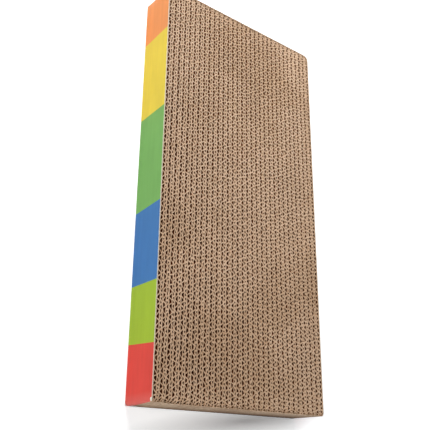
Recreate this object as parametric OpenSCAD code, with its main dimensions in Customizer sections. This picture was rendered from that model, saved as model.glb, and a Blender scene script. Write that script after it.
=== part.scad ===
// Cardboard cat scratcher. Strips of corrugated cardboard stand side by side with their flutes
// running up through the block, so that the open flute ends make the scratching face. A kraft
// strip covers the cut ends at each short end, and a printed card band covers each long side.
// The block lies flat: X runs across it, Y along it and Z up. The origin is in the middle of
// the underside, and both big faces can be scratched.

/* [Block] */
// Length over the two end strips
length = 380; // [200:1:600]
// Height of the block, and so the length of every flute
height = 38; // [15:1:80]
// Number of strips side by side, of which the last is single wall
board_count = 32; // [4:1:54]
// Radius to which the strips are rounded at the block's corners, seen from above
corner_r = 5; // [2:0.5:12]

/* [Corrugated board] */
// Thickness of a liner, the flat paper of a board
liner_t = 0.25; // [0.15:0.05:0.6]
// Thickness of a fluting, the wavy paper of a board
medium_t = 0.2; // [0.1:0.05:0.4]
// Height of the wide fluting, from liner to liner
wide_h = 2.95; // [2:0.05:5]
// Length of one wave of the wide fluting
wide_pitch = 7.85; // [5:0.05:12]
// Height of the narrow fluting, from liner to liner
narrow_h = 2.05; // [1.2:0.05:3.5]
// Length of one wave of the narrow fluting
narrow_pitch = 6.6; // [4:0.05:10]
// Share of a wave by which the wide fluting moves on from one board to the next
wide_shift_share = 0.37; // [0:0.01:1]
// Share of a wave by which the narrow fluting moves on from one board to the next
narrow_shift_share = 0.62; // [0:0.01:1]

/* [Glue] */
// Thickness of the glue between two boards, and behind each strip and band
glue_t = 0.05; // [0.02:0.01:0.3]
// Thickness of the starch glue between the crest of a wave and its liner
starch_t = 0.03; // [0.01:0.01:0.1]
// Height of one glue line
glue_line_h = 4; // [1:0.5:10]
// Number of glue lines in each joint between two boards
glue_line_count = 2; // [1:1:4]
// Distance from the rounded corners at which the glue lines stop
glue_stop = 3; // [0:0.5:20]

/* [Wrapping] */
// Thickness of the kraft strip on each short end
end_strip_t = 0.4; // [0.2:0.05:1]
// Thickness of the printed card band on each long side
side_band_t = 0.5; // [0.2:0.05:1.5]
// Angle by which each end of a side band turns round its corner
side_band_turn = 60; // [20:5:65]

/* [Hidden] */
// Overrun of every cut
over = 0.5;
quarter_turn = 90;
$fn = 64;

// A double wall board, a single wall board, and the step from one double wall board to the next
double_t = 3 * liner_t + wide_h + narrow_h;
single_t = 2 * liner_t + wide_h;
board_step = double_t + glue_t;

// The core is all the boards together. At its corners it is set back by the end strip and its
// glue, so that a strip's bent ends lie flush with the sides of the core.
end_build = glue_t + end_strip_t;
side_build = glue_t + side_band_t;
core_w = (board_count - 1) * board_step + single_t;
core_l = length - 2 * end_build;
corner_x = core_w / 2 - end_build - corner_r;
corner_y = core_l / 2 - corner_r;

// Colour blocks of the print, from the near end to the far end: where each one ends, as a share
// of the band's length, and its colour
print_end_shares = [0.122, 0.250, 0.424, 0.662, 0.876, 1];
print_colors = [
    [0.88, 0.31, 0.27], [0.64, 0.74, 0.24], [0.30, 0.49, 0.71],
    [0.50, 0.70, 0.39], [0.93, 0.82, 0.33], [0.95, 0.61, 0.36]
];
kraft = [0.76, 0.62, 0.48];
kraft_strip = [0.66, 0.52, 0.39];
glue = [0.93, 0.91, 0.85];

// board_01, board_02 and so on
function board_name(i) = str("board_", i < 10 ? "0" : "", i);

// Left side of board number i, counted from 1 at the left
function board_x(i) = -core_w / 2 + (i - 1) * board_step;

// Does board number i reach into a rounded corner?
function at_corner(i) = board_x(i) < -corner_x || board_x(i) + double_t > corner_x;

// Height of a zigzag wave, as a share from 0 to 1, at u waves from a crest
function wave_share(u) = abs(2 * (u - floor(u)) - 1);

// The places, in waves, where a zigzag from a to b starts, turns and stops
function turns(a, b) = [a, for (k = [floor(2 * a) + 1 : ceil(2 * b) - 1]) k / 2, b];

// One flat ply, with its left side at x
module liner(x) {
    translate([x, -core_l / 2, 0]) cube([liner_t, core_l, height]);
}

// One wavy ply that fills the space from x to x + h, starting the given number of waves in
module fluting(x, h, pitch, start) {
    wall_x = medium_t * norm([h, pitch / 2]) / (pitch / 2);
    rise = h - 2 * starch_t - wall_x;
    line = [
        for (u = turns(start, start + core_l / pitch))
            [x + starch_t + rise * wave_share(u), (u - start) * pitch - core_l / 2]
    ];
    linear_extrude(height) polygon(concat(
        line,
        [for (k = [len(line) - 1 : -1 : 0]) line[k] + [wall_x, 0]]
    ));
}

// What the corners of the core lose: all that lies outside a quarter round
module corner_cuts() {
    for (side = [0, 1], end = [0, 1])
        mirror([side, 0, 0]) mirror([0, end, 0]) difference() {
            translate([corner_x, corner_y, -over])
                cube([corner_r + end_build + over, corner_r + over, height + 2 * over]);
            translate([corner_x, corner_y, -2 * over])
                cylinder(r = corner_r, h = height + 4 * over);
        }
}

// One strip of board. The wide fluting faces left, and the last strip has no narrow fluting.
module board(i) {
    x = board_x(i);
    color(kraft) difference() {
        union() {
            liner(x);
            fluting(x + liner_t, wide_h, wide_pitch, i * wide_shift_share);
            liner(x + liner_t + wide_h);
            if (i < board_count) {
                fluting(x + 2 * liner_t + wide_h, narrow_h, narrow_pitch, i * narrow_shift_share);
                liner(x + 2 * liner_t + wide_h + narrow_h);
            }
        }
        if (at_corner(i)) corner_cuts();
    }
}

// The glue lines of every joint between two boards, evenly spaced up the joint
module glue_lines() {
    line_l = 2 * (corner_y - glue_stop);
    color(glue)
        for (i = [1 : board_count - 1], k = [1 : glue_line_count])
            translate([
                board_x(i) + double_t,
                -line_l / 2,
                k * height / (glue_line_count + 1) - glue_line_h / 2
            ])
                cube([glue_t, line_l, glue_line_h]);
}

// A strip t thick whose inner face lies on the X axis over a flat stretch, and whose two ends
// bend back by an angle round bend_r
module bent_strip(flat, bend_r, t, turn) {
    translate([-flat / 2, 0, 0]) cube([flat, t, height]);
    for (side = [0, 1])
        mirror([side, 0, 0]) translate([flat / 2, -bend_r, 0]) mirror([1, -1, 0])
            rotate_extrude(angle = turn) translate([bend_r, 0]) square([t, height]);
}

module end_strip() {
    color(kraft_strip) translate([0, core_l / 2 + glue_t, 0])
        bent_strip(2 * corner_x, corner_r + glue_t, end_strip_t, quarter_turn);
}

module end_strip_near() {
    mirror([0, 1, 0]) end_strip();
}

module end_strip_far() {
    end_strip();
}

// The band on the right side. It is one card, drawn as its colour blocks.
module side_band() {
    reach = core_w / 2 + side_build + over;
    for (i = [0 : len(print_end_shares) - 1]) {
        start_share = i == 0 ? 0 : print_end_shares[i - 1];
        color(print_colors[i]) intersection() {
            translate([core_w / 2 + glue_t, 0, 0]) rotate(-quarter_turn)
                bent_strip(2 * corner_y, corner_r + end_build + glue_t, side_band_t, side_band_turn);
            translate([0, (start_share - 1 / 2) * length, 0])
                cube([reach, (print_end_shares[i] - start_share) * length, height]);
        }
    }
}

module side_band_left() {
    mirror([1, 0, 0]) side_band();
}

module side_band_right() {
    side_band();
}

for (i = [1 : board_count]) board(i);
glue_lines();
end_strip_near();
end_strip_far();
side_band_left();
side_band_right();
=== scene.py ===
# %% [markdown]
# # A cardboard cat scratcher
# The real thing is a flat block of corrugated cardboard. Strips of board stand side by side, so
# that their open flutes make the face that a cat scratches. A printed card band runs along each
# long side, and a plain kraft strip closes each short end.
#
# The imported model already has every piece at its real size. This lesson dresses it: each paper
# piece is modelled again with its waves, frays and bends, in the place that the model gives.

import math

import bmesh
import bpy
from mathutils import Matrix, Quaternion, Vector, noise


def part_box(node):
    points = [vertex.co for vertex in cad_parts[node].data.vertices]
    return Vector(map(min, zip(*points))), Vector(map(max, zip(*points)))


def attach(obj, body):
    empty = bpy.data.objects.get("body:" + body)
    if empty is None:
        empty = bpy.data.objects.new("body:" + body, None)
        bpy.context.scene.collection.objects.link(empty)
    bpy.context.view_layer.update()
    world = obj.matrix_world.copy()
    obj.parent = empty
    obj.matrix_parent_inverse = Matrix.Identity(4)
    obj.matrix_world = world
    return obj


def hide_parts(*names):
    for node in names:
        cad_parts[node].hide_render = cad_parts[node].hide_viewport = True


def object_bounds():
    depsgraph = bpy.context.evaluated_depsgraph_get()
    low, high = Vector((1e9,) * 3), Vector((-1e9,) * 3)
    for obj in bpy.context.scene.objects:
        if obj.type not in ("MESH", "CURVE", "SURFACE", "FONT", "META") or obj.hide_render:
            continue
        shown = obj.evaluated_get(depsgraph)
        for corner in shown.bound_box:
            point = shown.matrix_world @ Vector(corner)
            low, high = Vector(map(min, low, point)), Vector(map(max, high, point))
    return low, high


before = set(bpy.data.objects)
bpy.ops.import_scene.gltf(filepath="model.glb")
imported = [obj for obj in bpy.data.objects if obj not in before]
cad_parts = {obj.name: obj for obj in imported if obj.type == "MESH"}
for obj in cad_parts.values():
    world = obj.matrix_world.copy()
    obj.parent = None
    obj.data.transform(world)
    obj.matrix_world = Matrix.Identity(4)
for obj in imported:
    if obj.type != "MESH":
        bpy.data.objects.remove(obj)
cad_low, cad_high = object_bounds()
mm = 0.001
print("The model measures", [round(side / mm, 1) for side in cad_high - cad_low], "mm")

# %% [markdown]
# ## Sizes that the frame gives
# A piece that replaces a solid has to lie where the solid lies. So the thickness of the boards
# and the heights of their waves are worked out from the boxes of the solids, and only what a box
# can't tell, such as the thickness of one sheet of paper, is written down here.

# %% Sizes of the block
board_names = sorted(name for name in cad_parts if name.startswith("board_"))
board_boxes = [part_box(name) for name in board_names]
board_count = len(board_names)
middle_low, middle_high = board_boxes[board_count // 2]
last_low, last_high = board_boxes[-1]
height = cad_high.z
core_half_w = last_high.x
core_half_l = middle_high.y

liner_t = 0.25 * mm
single_t = last_high.x - last_low.x
wide_h = single_t - 2 * liner_t
double_t = middle_high.x - middle_low.x
narrow_h = double_t - single_t - liner_t
print(board_count, "boards, with waves", round(wide_h / mm, 2), "and", round(narrow_h / mm, 2),
      "mm high")

# %% Sizes of the rounded corners
# In the picture the far right corner is as round as the model's, and the other three are sharper
corner_r = 5 * mm
sharp_corner_r = 2 * mm
end_build = cad_high.y - core_half_l
side_build = cad_high.x - core_half_w


def corner(side, end):
    """Where a corner of the core starts to turn, across and along the block, and its radius.

    side is negative on the left, and end is negative at the near end.
    """
    radius = corner_r if side > 0 and end > 0 else sharp_corner_r
    return core_half_w - end_build - radius, core_half_l - radius, radius


print("The end strips stand", round(end_build / mm, 2), "mm out, the bands",
      round(side_build / mm, 2), "mm")

# %% [markdown]
# ## Camera
# The photograph looks down on the block at an angle, and the camera is rolled, so that the block
# seems to stand on its short end. The place, the aim and the roll were worked out from the
# block's own corners and edges in the picture, which is 430 pixels wide and high.

# %% Camera
picture_side = 430
focal_pixels = 666.0
camera_place = Vector((-370.5, -236.2, 465.9)) * mm
camera_aim = Vector((-34.9, -27.6, 38.2)) * mm
camera_roll = math.radians(66.13)

camera_data = bpy.data.cameras.new("camera")
camera_data.lens = focal_pixels / picture_side * camera_data.sensor_width
camera = bpy.data.objects.new("camera", camera_data)
bpy.context.scene.collection.objects.link(camera)
camera.location = camera_place
camera.rotation_mode = "QUATERNION"
level_view = (camera_aim - camera_place).to_track_quat("-Z", "Y")
camera.rotation_quaternion = level_view @ Quaternion((0, 0, 1), camera_roll)
bpy.context.scene.camera = camera


def in_picture(point):
    """Where a point of the frame lands in the picture, in pixels from its top left corner."""
    seen = camera.rotation_quaternion.inverted() @ (Vector(point) - camera_place)
    return [round(picture_side / 2 + sign * focal_pixels * part / -seen.z, 1)
            for sign, part in ((1, seen.x), (-1, seen.y))]


print("Near left corner at", in_picture((cad_low.x, cad_low.y, height)))
print("Far right corner at", in_picture((cad_high.x, cad_high.y, height)))

# %% [markdown]
# ## Light and floor
# The picture has a white ground and one soft shadow beyond the near end. Four square lamps light
# the block. The key lamp stands high beyond the far end and throws that shadow. A lamp on the left
# lights the band, a low one in front lights the near end, and a weak one on the right keeps the
# hidden sides from going dark.
#
# The floor is a plain pale surface. It glows a little where it is looked at, straight or in a
# reflection, which takes it to white where the lamps reach it and puts no more light on the block.
# The glow is weaker in an ellipse just beyond the near end, where the shadow falls, so the ellipse
# paints the shadow's shape and depth there. Far away the glow is full, so that the floor meets the
# white world from every side.

# %% Lamps
centre = Vector((0, 0, height / 2))


def add_lamp(name, place, side, share):
    """A square lamp that gives a white sheet facing it this share of full white."""
    data = bpy.data.lights.new(name, "AREA")
    data.size = side
    data.energy = share * math.pi ** 2 * (place - centre).length_squared
    lamp = bpy.data.objects.new(name, data)
    bpy.context.scene.collection.objects.link(lamp)
    lamp.location = place
    lamp.rotation_mode = "QUATERNION"
    lamp.rotation_quaternion = (centre - place).to_track_quat("-Z", "Y")


add_lamp("key_lamp", place=Vector((-0.16, 0.80, 0.74)), side=0.60, share=0.85)
add_lamp("side_lamp", place=Vector((-1.10, -0.20, 0.33)), side=0.40, share=0.345)
add_lamp("front_lamp", place=Vector((-0.60, -0.85, 0.16)), side=0.40, share=0.17)
add_lamp("back_lamp", place=Vector((1.00, 0.30, 0.45)), side=0.80, share=0.18)

# %% Node helpers
def add_node(tree, kind, settings=None, values=None, feeds=None):
    """Adds a shader node, sets its options and its sockets' own values, and links its inputs."""
    made = tree.nodes.new(kind)
    for name, value in (settings or {}).items():
        setattr(made, name, value)
    for name, value in (values or {}).items():
        made.inputs[name].default_value = value
    for name, output in (feeds or {}).items():
        tree.links.new(output, made.inputs[name])
    return made


def fill_sockets(tree, sockets, sources):
    """Gives each socket its source, which is a value or the output of another node."""
    for socket, source in zip(sockets, sources):
        if isinstance(source, bpy.types.NodeSocket):
            tree.links.new(source, socket)
        else:
            socket.default_value = source


def add_math(tree, operation, first, second):
    """A Math node. Each of its two inputs is a number or the output of another node."""
    made = add_node(tree, "ShaderNodeMath", {"operation": operation})
    fill_sockets(tree, made.inputs, (first, second))
    return made.outputs[0]


def seen_directly(tree):
    """1 for rays from the camera, and for reflections and refractions of what it sees."""
    path = add_node(tree, "ShaderNodeLightPath").outputs
    either = add_math(tree, "MAXIMUM", path["Is Camera Ray"], path["Is Glossy Ray"])
    return add_math(tree, "MAXIMUM", either, path["Is Transmission Ray"])


# %% World
white = (1, 1, 1, 1)
sky_light = 0.12

world = bpy.data.worlds.new("studio")
world.use_nodes = True
bpy.context.scene.world = world
tree = world.node_tree
tree.nodes.clear()
sky_fill = add_node(tree, "ShaderNodeBackground", values={"Color": white, "Strength": sky_light})
sky_seen = add_node(tree, "ShaderNodeBackground", values={"Color": white, "Strength": 1.0})
sky = add_node(tree, "ShaderNodeMixShader", feeds={
    0: seen_directly(tree), 1: sky_fill.outputs[0], 2: sky_seen.outputs[0]})
add_node(tree, "ShaderNodeOutputWorld", feeds={"Surface": sky.outputs[0]})
print("World nodes:", len(tree.nodes))

# %% Floor
floor_half = 3.0
floor_drop = 0.1 * mm

bm = bmesh.new()
bmesh.ops.create_grid(bm, x_segments=1, y_segments=1, size=floor_half)
bmesh.ops.translate(bm, verts=bm.verts, vec=(0, 0, -floor_drop))
floor_mesh = bpy.data.meshes.new("floor")
bm.to_mesh(floor_mesh)
bm.free()
floor = bpy.data.objects.new("floor", floor_mesh)
bpy.context.scene.collection.objects.link(floor)
print("Floor", 2 * floor_half, "m wide")

# %% Floor material
floor_paint = (0.91, 0.93, 0.95, 1)
floor_glow = 0.60
# Painted shadow: the ellipse where the floor glows less, and the distances between which the glow
# grows to full
shadow_glow = 0.10
shadow_middle = Vector((0.35 * cad_high.x, cad_low.y - 5 * mm, 0))
shadow_turn = math.radians(6.7)
shadow_reach = Vector((130, 14, 130)) * mm
rise_start = 0.35
rise_end = 0.75

floor_material = bpy.data.materials.new("pale_floor")
floor_material.use_nodes = True
tree = floor_material.node_tree
tree.nodes.clear()
place = add_node(tree, "ShaderNodeTexCoord").outputs["Object"]
axes = add_node(tree, "ShaderNodeSeparateXYZ", feeds={0: place}).outputs
beside_x = add_math(tree, "GREATER_THAN", add_math(tree, "ABSOLUTE", axes["X"], 0), cad_high.x)
beside_y = add_math(tree, "GREATER_THAN", add_math(tree, "ABSOLUTE", axes["Y"], 0), cad_high.y)
uncovered = add_math(tree, "MAXIMUM", beside_x, beside_y)
from_shadow = add_node(tree, "ShaderNodeMapping", {"vector_type": "TEXTURE"}, values={
    "Location": shadow_middle, "Rotation": (0, 0, shadow_turn), "Scale": shadow_reach},
    feeds={"Vector": place}).outputs[0]
away, distance = [add_node(tree, "ShaderNodeVectorMath", {"operation": "LENGTH"},
                           feeds={0: source}).outputs["Value"] for source in (from_shadow, place)]
out_of_shadow = add_node(tree, "ShaderNodeMapRange", values={
    "To Min": shadow_glow, "To Max": floor_glow}, feeds={"Value": away}).outputs[0]
far_away = add_node(tree, "ShaderNodeMapRange", values={
    "From Min": rise_start, "From Max": rise_end}, feeds={"Value": distance}).outputs[0]
glow_seen = add_math(tree, "MULTIPLY", seen_directly(tree), uncovered)
glow = add_node(tree, "ShaderNodeEmission", feeds={"Strength": add_math(
    tree, "MULTIPLY", glow_seen, add_math(tree, "MAXIMUM", out_of_shadow, far_away))})
paint = add_node(tree, "ShaderNodeBsdfDiffuse", values={"Color": floor_paint})
both = add_node(tree, "ShaderNodeAddShader", feeds={0: glow.outputs[0], 1: paint.outputs[0]})
add_node(tree, "ShaderNodeOutputMaterial", feeds={"Surface": both.outputs[0]})
floor_mesh.materials.append(floor_material)
print("Floor material:", len(tree.nodes), "nodes")

# %% [markdown]
# ## Paper finishes
# All the paper is matt and fibrous. Brown kraft is unbleached pulp, so its colour drifts in broad
# patches, with stains and fine flecks. Where a blade has cut it the torn fibres stand up and look
# paler. Deep in a cell the light has met so many brown walls that only a warm, dark brown comes
# back, so painted shade darkens the boards' kraft just below each cut face. The end strips are
# mottled, and carry painted shade along the lower edge, which climbs higher towards the right
# side.
#
# All of it comes from noise on Object coordinates, at the scale of real fibres, so that the
# finish is the same from every side.

# %% Colours
def from_screen(red, green, blue):
    """A colour that is read off a screen as 0 to 255, in the linear values that shaders use."""
    shares = [part / 255 for part in (red, green, blue)]
    return [s / 12.92 if s <= 0.04045 else ((s + 0.055) / 1.055) ** 2.4 for s in shares] + [1]


kraft_dark = from_screen(168, 124, 84)
kraft_mid = from_screen(197, 151, 108)
kraft_light = from_screen(213, 172, 130)
kraft_cut = from_screen(249, 217, 187)
print("Kraft, in linear values:", [round(part, 3) for part in kraft_mid[:3]])

# %% Colour helpers
# A Mix node has sockets for numbers, vectors and colours. These are the factor and the colours.
mix_inputs = (0, 6, 7)
mix_output = 2


def ramp(tree, factor, stops):
    """A colour ramp through stops, each a place from 0 to 1 and a colour."""
    made = add_node(tree, "ShaderNodeValToRGB", feeds={"Fac": factor})
    while len(made.color_ramp.elements) < len(stops):
        made.color_ramp.elements.new(1.0)
    for element, (stop, colour) in zip(made.color_ramp.elements, stops):
        element.position = stop
        element.color = colour
    return made.outputs["Color"]


def mix_colour(tree, factor, first, second, how="MIX"):
    """Mixes two colours, each a value or the output of a node."""
    made = add_node(tree, "ShaderNodeMix", {"data_type": "RGBA", "blend_type": how})
    fill_sockets(tree, [made.inputs[index] for index in mix_inputs], (factor, first, second))
    return made.outputs[mix_output]


def tint(tree, colour, filter_colour):
    """A colour seen through a filter, which is its product with the filter's colour."""
    return mix_colour(tree, 1.0, colour, filter_colour, how="MULTIPLY")


# %% Pattern helpers
def grain(tree, place, scale, stretch=(1, 1, 1), detail=3.0, start=(0, 0, 0)):
    """Noise of so many turns to the metre, that can be stretched along an axis and moved."""
    mapped = add_node(tree, "ShaderNodeMapping", values={"Location": start, "Scale": stretch},
                      feeds={"Vector": place})
    return add_node(tree, "ShaderNodeTexNoise", values={"Scale": scale, "Detail": detail},
                    feeds={"Vector": mapped.outputs[0]}).outputs["Fac"]


def weighted_sum(tree, *parts):
    """The sum of some noises, each given with its share."""
    shares = [add_math(tree, "MULTIPLY", value, share) for value, share in parts]
    total = shares.pop()
    while shares:
        total = add_math(tree, "ADD", shares.pop(), total)
    return total


def near(tree, place, low, high, reach):
    """1 at low and at high, falling to 0 further inside than reach."""
    ends = [add_node(tree, "ShaderNodeMapRange", values={"From Min": inside, "From Max": end},
                     feeds={"Value": place}).outputs[0]
            for inside, end in ((low + reach, low), (high - reach, high))]
    return add_math(tree, "MAXIMUM", *ends)


# %% Paper helpers
def paper(name, roughness, specular):
    """A new material with a plain paper shader, and its tree, its shader and its coordinates."""
    material = bpy.data.materials.new(name)
    material.use_nodes = True
    tree = material.node_tree
    tree.nodes.clear()
    place = add_node(tree, "ShaderNodeTexCoord").outputs["Object"]
    shader = add_node(tree, "ShaderNodeBsdfPrincipled", values={
        "Roughness": roughness, "Specular IOR Level": specular})
    add_node(tree, "ShaderNodeOutputMaterial", feeds={"Surface": shader.outputs[0]})
    return material, tree, shader, place


def roughen(tree, shader, height_map, depth, strength=0.5):
    """Raises the surface by a height map, up to the given depth."""
    bump = add_node(tree, "ShaderNodeBump", values={"Distance": depth, "Strength": strength},
                    feeds={"Height": height_map})
    tree.links.new(bump.outputs[0], shader.inputs["Normal"])


# %% Kraft of the boards
# Painted shade in the cells: below each cut face the kraft darkens to cell_shade by shade_depth,
# but not within end_shade_depth of the crushed ends
shade_depth = 1.6 * mm
end_shade_depth = 4.0 * mm
fuzz_depth = 1.0 * mm
cell_shade = (0.74, 0.29, 0.065, 1)
fleck_tint = (0.80, 0.75, 0.69, 1)
stain_tint = (0.87, 0.84, 0.80, 1)
# The place in the noise where the stains fall most like those on the real face
stain_start = (-0.589, -0.544, -0.383)

board_kraft, tree, shader, place = paper("board_kraft", roughness=0.95, specular=0.15)
axes = add_node(tree, "ShaderNodeSeparateXYZ", feeds={0: place}).outputs
patches = grain(tree, place, scale=22, detail=2.0)
strips = grain(tree, place, scale=60, stretch=(5, 0.25, 0.25), detail=1.0)
fibres = grain(tree, place, scale=1400, stretch=(1, 1, 0.35), detail=4.0)
tone = weighted_sum(tree, (patches, 0.55), (strips, 0.30), (fibres, 0.15))
body = ramp(tree, tone, [(0.34, kraft_dark), (0.50, kraft_mid), (0.66, kraft_light)])
# Painted shade: darker below each cut face, lifted near the crushed ends
shallow = add_math(tree, "MAXIMUM", near(tree, axes["Z"], 0.0, height, shade_depth),
                   near(tree, axes["Y"], -core_half_l, core_half_l, end_shade_depth))
shade = ramp(tree, shallow, [(0.0, cell_shade), (0.6, white)])
fuzz = add_math(tree, "MULTIPLY", near(tree, axes["Z"], 0.0, height, fuzz_depth),
                add_math(tree, "ADD", fibres, 0.35))
clean = mix_colour(tree, fuzz, tint(tree, body, shade), kraft_cut)
stains = ramp(tree, grain(tree, place, scale=13, detail=1.5, start=stain_start),
              [(0.40, stain_tint), (0.60, white)])
flecks = ramp(tree, grain(tree, place, scale=750, stretch=(1, 1, 0.3), detail=1.0),
              [(0.38, fleck_tint), (0.62, white)])
tree.links.new(tint(tree, clean, tint(tree, stains, flecks)), shader.inputs["Base Color"])
roughen(tree, shader, fibres, depth=0.06 * mm)
print("Kraft of the boards:", len(tree.nodes), "nodes")

# %% Kraft of the end strips
strip_dark = from_screen(172, 141, 112)
strip_mid = from_screen(207, 175, 144)
strip_light = from_screen(230, 203, 174)
# Tints of the painted shade along the lower edge, and how far it climbs from the middle to the
# right side, as a share of the height
edge_shade_dark = (0.18, 0.15, 0.13, 1)
edge_shade_mid = (0.52, 0.47, 0.43, 1)
edge_shade_climb = 0.25

strip_kraft, tree, shader, place = paper("strip_kraft", roughness=0.85, specular=0.25)
patches = grain(tree, place, scale=30, detail=3.0)
mottle = grain(tree, place, scale=380, detail=2.0)
fibres = grain(tree, place, scale=1100, stretch=(0.3, 1, 1), detail=4.0)
tone = weighted_sum(tree, (patches, 0.3), (mottle, 0.45), (fibres, 0.25))
body = ramp(tree, tone, [(0.40, strip_dark), (0.50, strip_mid), (0.60, strip_light)])
axes = add_node(tree, "ShaderNodeSeparateXYZ", feeds={0: place}).outputs
# Painted shade: the strip darkens towards its lower edge, and the dark climbs higher towards the
# right side
raised = add_math(tree, "SUBTRACT", add_math(tree, "DIVIDE", axes["Z"], height),
                  add_math(tree, "MULTIPLY", axes["X"], edge_shade_climb / cad_high.x))
edge_shade = ramp(tree, raised, [(0.0, edge_shade_dark), (0.28, edge_shade_mid), (0.72, white)])
tree.links.new(tint(tree, body, edge_shade), shader.inputs["Base Color"])
roughen(tree, shader, fibres, depth=0.15 * mm)
print("Kraft of the end strips:", len(tree.nodes), "nodes")

# %% [markdown]
# ## Print on the bands
# Each band is white card, printed in six plain colour blocks. The borders between them are crisp,
# but none is quite square to the band. So each border is a comparison of the place along the
# block with a line that leans a little as it rises, and it switches from one ink to the next. The
# ink has a soft satin shine and faint streaks along the band. It is rubbed at the edges, a painted
# highlight makes it a little paler at the ends, and the card shows pale where it is cut or torn.

# %% Inks
# Where each block starts at the lower edge and at the upper edge, as shares of the block's length
# from its near end, and its ink
print_blocks = [
    (0.000, 0.000, from_screen(219, 66, 54)),
    (0.124, 0.118, from_screen(159, 186, 40)),
    (0.249, 0.250, from_screen(57, 116, 177)),
    (0.420, 0.429, from_screen(116, 172, 86)),
    (0.659, 0.665, from_screen(233, 205, 60)),
    (0.872, 0.880, from_screen(240, 148, 76)),
]
card_white = from_screen(242, 234, 220)
card_shade = from_screen(222, 210, 188)
ink_shade = (0.90, 0.90, 0.90, 1)
print("Inks:", len(print_blocks))

# %% Printed card
# Reach of the rubbed edges, and reach and strength of the painted highlight that pales the print
# at the ends
rubbed_reach = 0.8 * mm
end_highlight_reach = 9 * mm
end_highlight_share = 0.09

printed_card, tree, shader, place = paper("printed_card", roughness=0.42, specular=0.15)
axes = add_node(tree, "ShaderNodeSeparateXYZ", feeds={0: place}).outputs
ink = print_blocks[0][2]
for under_share, top_share, colour in print_blocks[1:]:
    under, top = [(share - 0.5) * 2 * cad_high.y for share in (under_share, top_share)]
    rising = add_math(tree, "MULTIPLY", axes["Z"], (top - under) / height)
    passed = add_math(tree, "GREATER_THAN", axes["Y"], add_math(tree, "ADD", rising, under))
    ink = mix_colour(tree, passed, ink, colour)
patches = grain(tree, place, scale=35, detail=3.0)
streaks = grain(tree, place, scale=260, stretch=(1, 0.08, 1), detail=1.0)
shade = ramp(tree, weighted_sum(tree, (patches, 0.5), (streaks, 0.5)),
             [(0.35, ink_shade), (0.65, white)])
fibres = grain(tree, place, scale=900, detail=4.0)
rubbed = add_math(tree, "MULTIPLY", near(tree, axes["Z"], 0.0, height, rubbed_reach), fibres)
# Painted highlight: the print is mixed a little towards white near each end of the band, where it
# turns round the corners
end_highlight = add_math(tree, "MULTIPLY", near(tree, axes["Y"], cad_low.y, cad_high.y, end_highlight_reach),
                 end_highlight_share)
# worn joins the rubbed edges and the painted highlight at the ends
worn = add_math(tree, "MAXIMUM", rubbed, end_highlight)
tree.links.new(mix_colour(tree, worn, tint(tree, ink, shade), card_white),
               shader.inputs["Base Color"])
roughen(tree, shader, fibres, depth=0.02 * mm, strength=0.3)
print("Printed card:", len(tree.nodes), "nodes")

# %% Bare card
bare_card, tree, shader, place = paper("bare_card", roughness=0.9, specular=0.2)
fibres = grain(tree, place, scale=1200, detail=4.0)
tree.links.new(ramp(tree, fibres, [(0.3, card_shade), (0.7, card_white)]),
               shader.inputs["Base Color"])
roughen(tree, shader, fibres, depth=0.04 * mm)
print("Bare card:", len(tree.nodes), "nodes")

# %% Glue
glue_shade = from_screen(226, 220, 204)
glue_pale = from_screen(243, 240, 230)

white_glue, tree, shader, place = paper("white_glue", roughness=0.5, specular=0.4)
clouds = grain(tree, place, scale=300, detail=3.0)
tree.links.new(ramp(tree, clouds, [(0.3, glue_shade), (0.7, glue_pale)]),
               shader.inputs["Base Color"])
roughen(tree, shader, clouds, depth=0.02 * mm)
print("Glue:", len(tree.nodes), "nodes")

# %% [markdown]
# ## One sheet of paper
# Every paper piece here is the same thing at heart: a long thin sheet. So one helper makes them
# all. It starts from a flat grid, moves each point of the grid to its place with a function of
# how far along and how far up it is, and then thickens the grid with the solidify operator,
# which also closes the rim. A grid keeps the faces few and even, and a function can bend, wave
# and fray it at will.
#
# A blade leaves a fur of torn fibres along the cut. The helper can swell the two cut edges of a
# sheet by that fur, unevenly, as the noise tells it.

# %% Sheet helper
# Share of a sheet's length at each end that gets no fur
plain_share = 0.01
# The fur's usual share of its depth, how far noise varies it, and the size of its tufts
fur_base = 0.75
fur_vary = 0.6
fur_step = 1.5 * mm


def add_sheet(bm, columns, levels, place, thickness, fur=None):
    """Adds a sheet. place(along, up) is its front, with along from 0 to 1 and up in metres.

    fur(at, out) is how far the side at a place that faces the level direction out swells at the
    two cut edges.
    """
    rows = len(levels) - 1
    cut = bm.verts.layers.float.get("cut") or bm.verts.layers.float.new("cut")
    points = bmesh.ops.create_grid(bm, x_segments=columns, y_segments=rows, size=1)["verts"]
    for point in points:
        along, row = (point.co.x + 1) / 2, round((point.co.y + 1) / 2 * rows)
        point[cut] = float(row in (0, rows) and plain_share < along < 1 - plain_share)
        point.co = place(along, levels[row])
    faces = list(dict.fromkeys(face for point in points for face in point.link_faces))
    for face in faces:
        face.smooth = True
        face.normal_update()
    bmesh.ops.solidify(bm, geom=faces, thickness=thickness)
    if fur:
        bm.normal_update()
        for point in [point for point in bm.verts if point[cut]]:
            out = Vector((point.normal.x, point.normal.y, 0)).normalized()
            tuft = fur_base + fur_vary * noise.noise(point.co / fur_step)
            point.co += out * fur(point.co, out) * tuft
            point[cut] = 0


# %% Finishing helper
crease_angle = math.radians(50)


def finish_piece(bm, name, materials, nodes):
    """Makes a bmesh a piece of the object that stands for some of the frame's nodes."""
    for edge in bm.edges:
        if edge.is_manifold and edge.calc_face_angle() > crease_angle:
            edge.smooth = False
    mesh = bpy.data.meshes.new(name)
    bm.to_mesh(mesh)
    bm.free()
    for material in materials:
        mesh.materials.append(material)
    piece = bpy.data.objects.new(name, mesh)
    bpy.context.scene.collection.objects.link(piece)
    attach(piece, "root")
    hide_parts(*nodes)
    return piece


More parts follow.
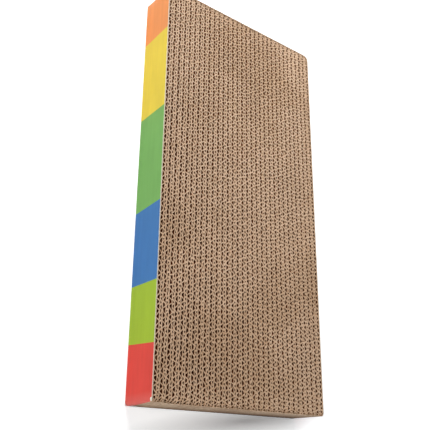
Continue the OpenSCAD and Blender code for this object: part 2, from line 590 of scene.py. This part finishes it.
# %% [markdown]
# ## How the paper strays from its true shape
# Real board isn't regular. The joints between the strips wander a little, the waves are stretched
# here and squeezed there, the paper frays and bends in the last millimetres below a cut, and the
# ends of the strips are crushed where the end strips press on them. Smooth noise gives each of
# these its own reach and its own step, and a seed gives each sheet its own course.

# %% Smooth drift
fray_depth = 4 * mm
# Smooth noise seldom passes two thirds, and this brings a drift up to about its full reach
drift_gain = 1.5
upper_cut_seed = 0.41
lower_cut_seed = 0.77


def wander(reach, step, seed, first, second=0.0):
    """A smooth random drift at a place, up to about reach, which turns about once a step."""
    return drift_gain * reach * noise.noise((first / step, second / step, seed))


def frayed(z):
    """1 at a cut face, falling to 0 where the paper is too deep to fray."""
    return max(0.0, 1 - min(z, height - z) / fray_depth) ** 2


def cut_seed(seed, z):
    """A seed of its own for each of the two cut faces."""
    return seed + (upper_cut_seed if z > height / 2 else lower_cut_seed)


print("A sheet frays by", [round(frayed(z * mm), 2) for z in range(5)], "at 0 to 4 mm below a cut")

# %% Drift of the joints
# Reach and step of the slow drift, the quick drift and the fray at the cuts
joint_slow = (0.16 * mm, 45 * mm)
joint_quick = (0.06 * mm, 9 * mm)
joint_fray = (0.10 * mm, 4 * mm)


def joint_drift(number, y, z):
    """Sideways drift of the joint to the right of a board. The bands hold the outer sides."""
    if number in (0, board_count):
        return 0.0
    slow = wander(*joint_slow, number, y)
    quick = wander(*joint_quick, number + 0.2, y)
    return slow + quick + frayed(z) * wander(*joint_fray, cut_seed(number, z), y)


def middle_drift(number, y, z):
    """Sideways drift of the middle liner of a board."""
    return joint_drift(number - 0.5, y, z) if number < board_count else 0.0


print("The middle joint drifts by",
      [round(joint_drift(board_count // 2, y * mm, height / 2) / mm, 2)
       for y in range(-180, 181, 60)], "mm")

# %% Crushed ends of the strips
# Each strip starts this much too long at each end, and is crushed into its room
crushed_l = 5 * mm
paper_half_l = core_half_l + crushed_l
crushed_share = 1 - core_half_l / paper_half_l
# The higher the power, the closer to the ends the crushing and the rounded corners are felt
crush_power = 34
corner_power = 12
# The band presses the near end in as far as press_full from the left side, and not past press_end
press_full = 8 * mm
press_end = 16 * mm


def core_reach(x, y):
    """How far the strips may reach along the block, inside its rounded corners."""
    turn_x, turn_y, radius = corner(x, y)
    into_corner = min(max(0.0, abs(x) - turn_x), radius)
    return turn_y + math.sqrt(radius ** 2 - into_corner ** 2)


def pressed_in(x, y):
    """How far the band that wraps the sharp corner presses the near end in beside it."""
    if y >= 0:
        return 0.0
    share = min(max(0.0, (-x - core_half_w + press_end) / (press_end - press_full)), 1.0)
    return side_build * share * share * (3 - 2 * share)


print("At the left the near end is pressed in by",
      round(pressed_in(-core_half_w, -1) / mm, 2), "mm")

# %% Splayed and ragged ends
end_zone = 6 * mm
# How far from a side the strips lean most, and by how much at the near left corner and elsewhere
splay_peak = 14 * mm
splay_sharp = 2.4 * mm
splay_plain = 0.6 * mm
# Reach and step of the strips' stray lean, its seeds, and how soon it starts inside a side
splay_drift = (0.9 * mm, 16 * mm)
splay_near_seed = 93.7
splay_far_seed = 91.3
splay_start = 6 * mm
# Least depth of the ragged cut, and its drift
ragged_least = 0.04 * mm
ragged_drift = (0.3 * mm, 3 * mm)


def splay(x, y, z):
    """Sideways lean of the ends of the strips, which the corners draw outwards."""
    inward = core_half_w - abs(x)
    pull = inward / splay_peak * math.exp(1 - inward / splay_peak)
    strength = splay_sharp if x < 0 and y < 0 else splay_plain
    stray = wander(*splay_drift, splay_far_seed if y > 0 else splay_near_seed, x, z)
    return math.copysign(pull * strength, x) + stray * (1 - math.exp(-inward / splay_start))


def settle(x, y, z, seed):
    """Bends, crushes and frays a point of the boards, and returns its final place."""
    y *= 1 - crushed_share * (abs(y) / paper_half_l) ** crush_power
    near_end = max(0.0, (abs(y) - core_half_l) / end_zone + 1)
    x += near_end ** 2 * splay(x, y, z)
    shortened = 1 - (core_reach(x, y) - pressed_in(x, y)) / core_half_l
    y *= 1 - shortened * (abs(y) / core_half_l) ** corner_power
    ragged = frayed(z) * (ragged_least + abs(wander(*ragged_drift, cut_seed(seed, z), y, x)))
    return Vector((x, y, z - ragged if z > height / 2 else z + ragged))


print("The end of a strip comes to y =", round(settle(0, paper_half_l, height, 1).y / mm, 2), "mm")

# %% [markdown]
# ## The corrugated boards
# A board is a sandwich: flat liners with wavy sheets between them. The wide wave faces left in
# every strip, the narrow one right, and the last strip is single wall. The wave is a sine with
# its crests made a little broader. Where its neighbours lean, its cells lean too, so the
# picture's slanted, squeezed and S-shaped cells come from three drifts: along the block, with
# the side that the wave is on, and close to the cut.
#
# The fur at the cut thickens every sheet and closes the cells a little. As in the picture, the
# waves are looser on the left of the block, and the fur closes more of each cell on the right.

# %% Waves
flute_t = 0.28 * mm
wide_pitch = 7.85 * mm
narrow_pitch = 6.6 * mm
crest_breadth = 0.45
# Reach and step of a wave's drifts, both as shares of its pitch
stretch_drift = (0.12, 2.1)
lean_drift = (0.09, 1.6)
bend_drift = (0.06, 0.5)
# Share of its height by which a wave shrinks at the cut, and the step of that, in waves
draw_back = 0.35
draw_step = 0.8
# Share of these drifts in the middle of the block, and how much it changes towards each side
loose_middle = 0.6
loose_change = 0.45


def wave(turns):
    """A rounded zigzag between -1 and 1."""
    swing = math.sin(2 * math.pi * turns)
    return swing * (1 + crest_breadth - crest_breadth * swing * swing)


def looseness(x):
    """How loosely the waves lie, which grows from right to left."""
    return loose_middle - loose_change * x / core_half_w


print("A wave in eighths of a turn:", [round(wave(eighth / 8), 2) for eighth in range(9)])

# %% Places of liners and waves
def liner_place(side_x, seed):
    """The place function of a liner, whose right side is given by side_x(y, z)."""
    def place(along, up):
        y = (2 * along - 1) * paper_half_l
        return settle(side_x(y, up), y, up, seed)
    return place


def flute_place(left_x, right_x, pitch, start, seed):
    """The place function of a wavy sheet between two liners."""
    def drift(reach_and_step, drift_seed, y):
        reach, step = reach_and_step
        return wander(reach * pitch, step * pitch, drift_seed, y)

    def place(along, up):
        y = (2 * along - 1) * paper_half_l
        swing = wave(start + y / pitch)
        inside = min(1.0, (paper_half_l - abs(y)) / end_zone)
        tip = frayed(up)
        loose = looseness(left_x(y, up) + flute_t)
        stretch = loose * drift(stretch_drift, seed, y)
        lean = loose * swing * drift(lean_drift, seed + 0.3, y)
        bent = loose * tip * drift(bend_drift, cut_seed(seed, up), y)
        y += inside * (stretch + lean + bent)
        drawn = abs(wander(1.0, draw_step * pitch, seed + 0.6, y))
        hold = 1 - draw_back * loose * tip * drawn
        left, right = left_x(y, up) + flute_t, right_x(y, up)
        x = (left + right) / 2 + hold * swing * (right - left) / 2
        return settle(x, y, up, seed)
    return place


# %% Fur at the cuts
# Depth of the fur in the middle of the block, and how its share changes towards the right side
liner_fur = 0.24 * mm
liner_slope = -0.4
wide_fur = 0.76 * mm
wide_slope = 0.3
narrow_fur = 1.8 * mm
narrow_slope = 0.45
# Distance from the end strips over which they hold the fur back
held_zone = 4 * mm


def fur_share(at, slope):
    """Share of the full fur. It changes from left to right, and the end strips hold it back."""
    room = (core_reach(at.x, at.y) - pressed_in(at.x, at.y) - abs(at.y)) / held_zone
    return min(max(0.0, room), 1.0) * (1 + slope * at.x / core_half_w)


def fur_both(at, out):
    """Fur on both sides of a liner between two wavy sheets."""
    return liner_fur * fur_share(at, liner_slope)


def fur_left(at, out):
    """Fur on the left side of a liner, whose right side is glued."""
    return fur_both(at, out) * (out.x < 0)


def fur_right(at, out):
    """Fur on the right side of a liner, whose left side is glued."""
    return fur_both(at, out) * (out.x > 0)


def fur_wide(at, out):
    """Fur on the wide wavy sheet, but not at its crests, which are glued to a liner."""
    return wide_fur * fur_share(at, wide_slope) * (1 - out.x ** 4)


def fur_narrow(at, out):
    """Fur on the narrow wavy sheet, but not at its crests."""
    return narrow_fur * fur_share(at, narrow_slope) * (1 - out.x ** 4)


print("Fur of a liner at the left and right sides:",
      [round(liner_fur * fur_share(Vector((x, 0, 0)), liner_slope) / mm, 2)
       for x in (-core_half_w, core_half_w)], "mm")

# %% Sheets of a board
fur_depth = 0.6 * mm
cut_levels = [0, fur_depth, fray_depth, height - fray_depth, height - fur_depth, height]
liner_columns = 190
wide_faces_a_wave = 10
narrow_faces_a_wave = 8
wide_columns = round(2 * paper_half_l / wide_pitch * wide_faces_a_wave)
narrow_columns = round(2 * paper_half_l / narrow_pitch * narrow_faces_a_wave)
# How far the waves move on from one board to the next, and the most that chance adds, in waves
wide_shift = 0.37
narrow_shift = 0.62
shift_stray = 0.6


def wave_start(number, shift, seed):
    """Where in its wave a board's wavy sheet is at the middle of its length."""
    return shift * number + shift_stray * noise.noise((number * 0.7, seed, 0.5))


def add_board(number, low_x, high_x):
    """One strip of board, counted from 1 at the left, as a bmesh of separate closed sheets."""
    bm = bmesh.new()

    def left_side(y, z):
        return low_x + liner_t + joint_drift(number - 1, y, z)

    def middle_left(y, z):
        return low_x + liner_t + wide_h + middle_drift(number, y, z)

    def middle_right(y, z):
        return middle_left(y, z) + liner_t

    def right_side(y, z):
        return high_x + joint_drift(number, y, z)

    def right_left(y, z):
        return right_side(y, z) - liner_t

    def add_liner(side_x, seed, fur):
        add_sheet(bm, liner_columns, cut_levels, liner_place(side_x, seed), liner_t, fur)

    def add_flute(columns, left_x, right_x, pitch, start, seed, fur):
        add_sheet(bm, columns, cut_levels, flute_place(left_x, right_x, pitch, start, seed),
                  flute_t, fur)

    add_liner(left_side, number, fur_right)
    add_flute(wide_columns, left_side, middle_left, wide_pitch,
              wave_start(number, wide_shift, 3.1), number + 100, fur_wide)
    add_liner(middle_right, number + 200, fur_both if number < board_count else fur_left)
    if number < board_count:
        add_flute(narrow_columns, middle_right, right_left, narrow_pitch,
                  wave_start(number, narrow_shift, 8.3), number + 300, fur_narrow)
        add_liner(right_side, number + 400, fur_left)
    return bm


print("Columns of faces in a liner, a wide wave and a narrow wave:", liner_columns, wide_columns,
      narrow_columns)

# %% Boards
for number, (name, (low, high)) in enumerate(zip(board_names, board_boxes), start=1):
    board = finish_piece(add_board(number, low.x, high.x), f"fluted_{name}", [board_kraft],
                         [name])
print(board_count, "boards; the last has", len(board.data.polygons), "faces")

# %% [markdown]
# ## The side bands
# A band is a strip of card as long as the block, bent round a corner at each end. The sheet
# helper makes it from a path that runs straight and then turns. In the picture its ends aren't
# quite square to its length, and the upper corner of the card is worn round. At the near left
# corner it wraps right round on to the end, and the print is torn off the very tip.

# %% Path round the corners
def turned(travel, flat, radius):
    """A path that runs straight as far as flat, turns through a quarter circle and runs on.

    It returns how far the path has come forwards, and how far inwards.
    """
    turn = min(max(0.0, travel - flat) / radius, math.pi / 2)
    rest = max(0.0, travel - flat - radius * math.pi / 2)
    return min(travel, flat) + radius * math.sin(turn), radius * (1 - math.cos(turn)) + rest


print("A path that turns at 10 with radius 5 is, after 20, at",
      [round(part, 2) for part in turned(20, 10, 5)])

# %% Reach of the bands
band_turn = math.radians(60)
sharp_band_turn = math.radians(50)
# How far an end of a band comes back from its lower to its upper edge
end_skew = 1.6 * mm
# How far past the near left corner the band reaches at its lower edge, and how far it comes back
wrap_past = 0.6 * mm
wrap_skew = 3.6 * mm
worn_top_r = 1.6 * mm
worn_under_r = 0.8 * mm


def worn_back(z, radius, top):
    """How far a worn corner of a card draws its end back at height z."""
    depth = min(radius, height - z if top else z)
    return radius - math.sqrt(radius ** 2 - (radius - depth) ** 2)


def band_reach(side, end, up):
    """How far from its middle the band reaches along its own path, at height up."""
    turn_x, turn_y, radius = corner(side, end)
    outer_r = cad_high.x - turn_x
    if side < 0 and end < 0:
        reach = turn_y - side_build + outer_r * math.pi / 2 + wrap_past - wrap_skew * up / height
    else:
        turn = band_turn if radius == corner_r else sharp_band_turn
        reach = turn_y + outer_r * turn - end_skew * up / height
    return reach - worn_back(up, worn_top_r, top=True) - worn_back(up, worn_under_r, top=False)


print("At half height the bands reach",
      [round(band_reach(side, end, height / 2) / mm, 1) for side in (-1, 1) for end in (-1, 1)],
      "mm from their middles")

# %% Shape of the bands
band_t = 0.5 * mm
band_columns = 400
band_levels = [share * height
               for share in (0, 0.008, 0.03, 0.2, 0.45, 0.7, 0.9, 0.94, 0.97, 0.99, 1)]
band_dents = (0.08 * mm, 11 * mm)
# The print is torn off above this share of the height, this far past the start of the turn
torn_share = 0.95
torn_start = 1.5 * mm


def band_place(side, seed):
    """The place function of the left (-1) or right (1) band."""
    def place(along, up):
        low, high = -band_reach(side, -1, up), band_reach(side, 1, up)
        travel = low + (along if side > 0 else 1 - along) * (high - low)
        end = math.copysign(1, travel)
        turn_x, turn_y, _ = corner(side, end)
        turn_y -= pressed_in(-core_half_w, end) if side < 0 else 0
        forward, inward = turned(abs(travel), turn_y, cad_high.x - turn_x)
        dent = abs(wander(*band_dents, seed, travel, up))
        dent_x, dent_y = (dent, 0) if inward < cad_high.x - turn_x else (0, dent)
        return Vector((side * (cad_high.x - inward - dent_x), end * (forward - dent_y), up))
    return place


def is_printed(face, side):
    """Whether a face of a band is on its outside, not on an edge, and not torn."""
    at, normal = face.calc_center_median(), face.normal
    turn_y = core_half_l - corner_r
    outward = normal.x * side
    if abs(at.y) > turn_y:
        outward += math.copysign(1, at.y) * normal.y
    torn = side < 0 and at.y < -turn_y - torn_start and at.z > torn_share * height
    return outward > 0.5 and abs(normal.z) < 0.5 and not torn


def add_band(side, seed):
    """A band as a bmesh, whose outside is printed and whose edges and inside are bare card."""
    bm = bmesh.new()
    add_sheet(bm, band_columns, band_levels, band_place(side, seed), band_t)
    bm.normal_update()
    for face in bm.faces:
        face.material_index = 0 if is_printed(face, side) else 1
    return bm


# %% Side bands
for which, side, seed in (("left", -1, 501), ("right", 1, 502)):
    band = finish_piece(add_band(side, seed), f"printed_band_{which}", [printed_card, bare_card],
                        [f"side_band_{which}"])
print("Each band has", len(band.data.polygons), "faces")

# %% [markdown]
# ## The end strips
# The kraft strips lie on the cut ends of the boards and turn round the corners under the bands.
# They are soft enough to show the strips of board behind them as faint ridges, and their upper
# edge is a little ragged.

# %% Shape of the end strips
strip_t = 0.4 * mm
strip_columns = 280
strip_levels = [share * height for share in (0, 0.03, 0.25, 0.5, 0.75, 0.97, 1)]
board_step = board_boxes[1][0].x - board_boxes[0][0].x
ridge_depth = 0.06 * mm
strip_dents = (0.06 * mm, 9 * mm)


def strip_reach(side, end):
    """How far from its middle an end strip reaches along its own path."""
    turn_x, _, radius = corner(side, end)
    return turn_x + (radius + end_build) * math.pi / 2


def strip_place(end, seed):
    """The place function of the near (-1) or far (1) strip."""
    def place(along, up):
        low, high = -strip_reach(-1, end), strip_reach(1, end)
        travel = low + (along if end < 0 else 1 - along) * (high - low)
        side = math.copysign(1, travel)
        turn_x, _, radius = corner(side, end)
        forward, inward = turned(abs(travel), turn_x, radius + end_build)
        x = side * forward
        ridge = 0.5 - 0.5 * math.cos(2 * math.pi * (x - board_boxes[0][0].x) / board_step)
        dent = (ridge_depth * ridge + abs(wander(*strip_dents, seed, x, up))) * (inward == 0)
        ragged = abs(wander(*ragged_drift, seed + 0.5, x)) if up == height else 0
        return Vector((x, end * (cad_high.y - inward - dent - pressed_in(x, end)), up - ragged))
    return place


def add_strip(end, seed):
    """An end strip as a bmesh."""
    bm = bmesh.new()
    add_sheet(bm, strip_columns, strip_levels, strip_place(end, seed), strip_t)
    return bm


# %% End strips
for which, end, seed in (("near", -1, 601), ("far", 1, 602)):
    strip = finish_piece(add_strip(end, seed), f"kraft_strip_{which}", [strip_kraft],
                         [f"end_strip_{which}"])
print("Each end strip has", len(strip.data.polygons), "faces")

# %% [markdown]
# ## The glue
# The glue lines lie inside the joints between the boards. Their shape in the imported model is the
# real one, so the solids stay, and only get the finish of dried white glue.

# %% Glue lines
glue_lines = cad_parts["glue_lines"]
for glue_slot in glue_lines.material_slots:
    glue_slot.material = white_glue
print("Glue lines:", len(glue_lines.data.polygons), "triangles")

# %% [markdown]
# ## Last steps
# The dressed block has to stay inside the box of the imported model. The colours are shown as they
# are, with no film look.

# %% Colour view
bpy.context.scene.view_settings.view_transform = "Standard"
